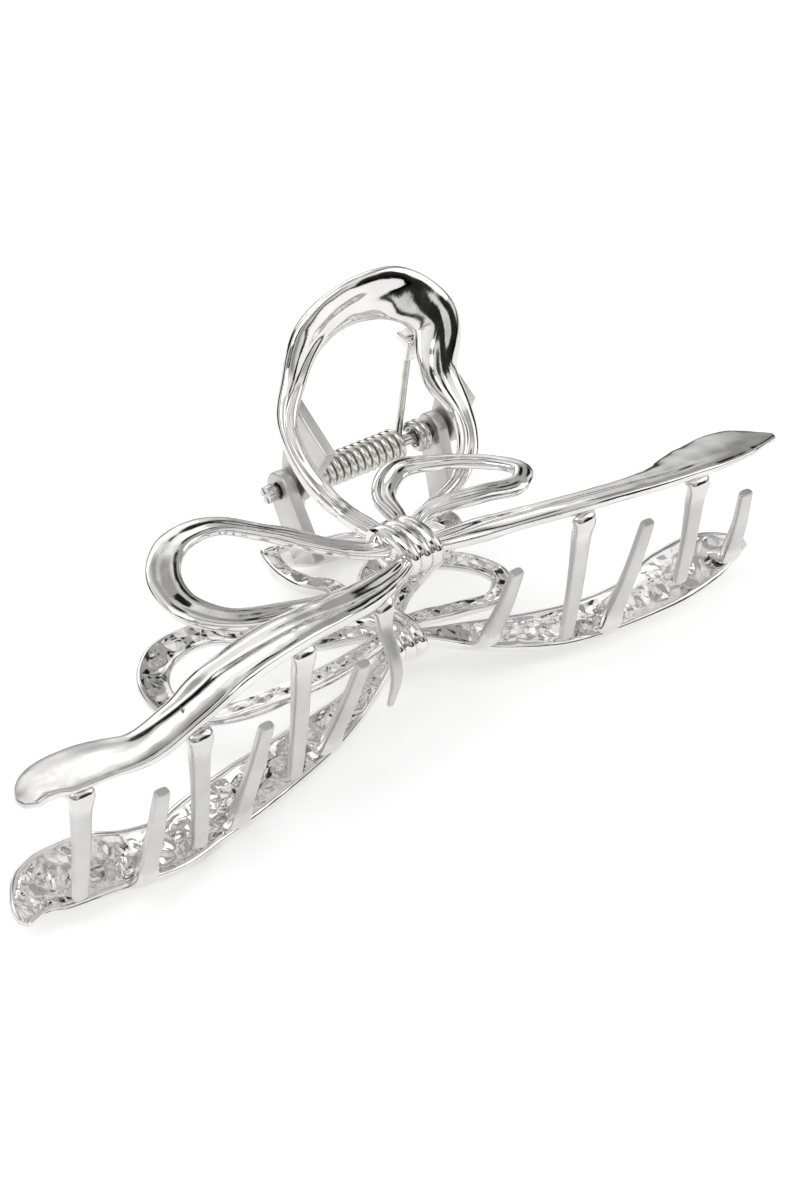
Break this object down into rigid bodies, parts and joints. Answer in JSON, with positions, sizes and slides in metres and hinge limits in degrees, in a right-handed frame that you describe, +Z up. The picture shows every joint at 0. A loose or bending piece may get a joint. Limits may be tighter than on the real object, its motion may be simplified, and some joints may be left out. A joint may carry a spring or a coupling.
{
  "type": "hair claw clip",
  "caption": "Sprung hair claw of two facing cast-metal bow jaws, with ribbon loops to squeeze, leaf-ended tails and interleaved teeth.",
  "frame": {"origin": "centre of the bounding box at the surface the clip lies on", "axes": "+X along the hinge pin towards the shorter tails, -Y the toothed side, +Z up with the clip lying on its lower jaw"},
  "size_m": [0.1204, 0.0566, 0.0485],
  "materials": {
    "bright_plating": "bright silver plating, mirror polished",
    "satin_plating": "silver plating, softer as cast",
    "pin_steel": "plated steel, turned",
    "spring_wire": "drawn spring wire"
  },
  "bodies": {
    "lower_jaw": {"lower_knot": "bright_plating", "lower_handle_loop": "bright_plating", "lower_left_loop": "bright_plating", "lower_right_loop": "bright_plating", "lower_left_tail": "bright_plating", "lower_right_tail": "bright_plating", "lower_tooth_1": "satin_plating", "lower_tooth_2": "satin_plating", "lower_tooth_3": "satin_plating", "lower_tooth_4": "satin_plating", "lower_tooth_5": "satin_plating", "lower_tooth_6": "satin_plating", "lower_left_lug": "satin_plating", "lower_right_lug": "satin_plating", "lower_spring_catch": "bright_plating", "hinge_pin": "pin_steel", "torsion_spring": "spring_wire", "spacer_coil": "pin_steel"},
    "upper_jaw": {"upper_knot": "bright_plating", "upper_handle_loop": "bright_plating", "upper_left_loop": "bright_plating", "upper_right_loop": "bright_plating", "upper_left_tail": "bright_plating", "upper_right_tail": "bright_plating", "upper_tooth_1": "satin_plating", "upper_tooth_2": "satin_plating", "upper_tooth_3": "satin_plating", "upper_tooth_4": "satin_plating", "upper_tooth_5": "satin_plating", "upper_tooth_6": "satin_plating", "upper_left_lug": "satin_plating", "upper_right_lug": "satin_plating", "upper_spring_catch": "bright_plating", "spring_upper_leg": "spring_wire"}
  },
  "joints": [
    {"name": "jaw_hinge", "type": "hinge", "parent": "lower_jaw", "child": "upper_jaw", "pos_m": [0.00534, 0.01511, 0.02277], "axis": [-1, 0, 0], "range_deg": [0, 55], "stiffness_Nm_per_rad": 0.06, "springref_deg": -34.38}
  ]
}
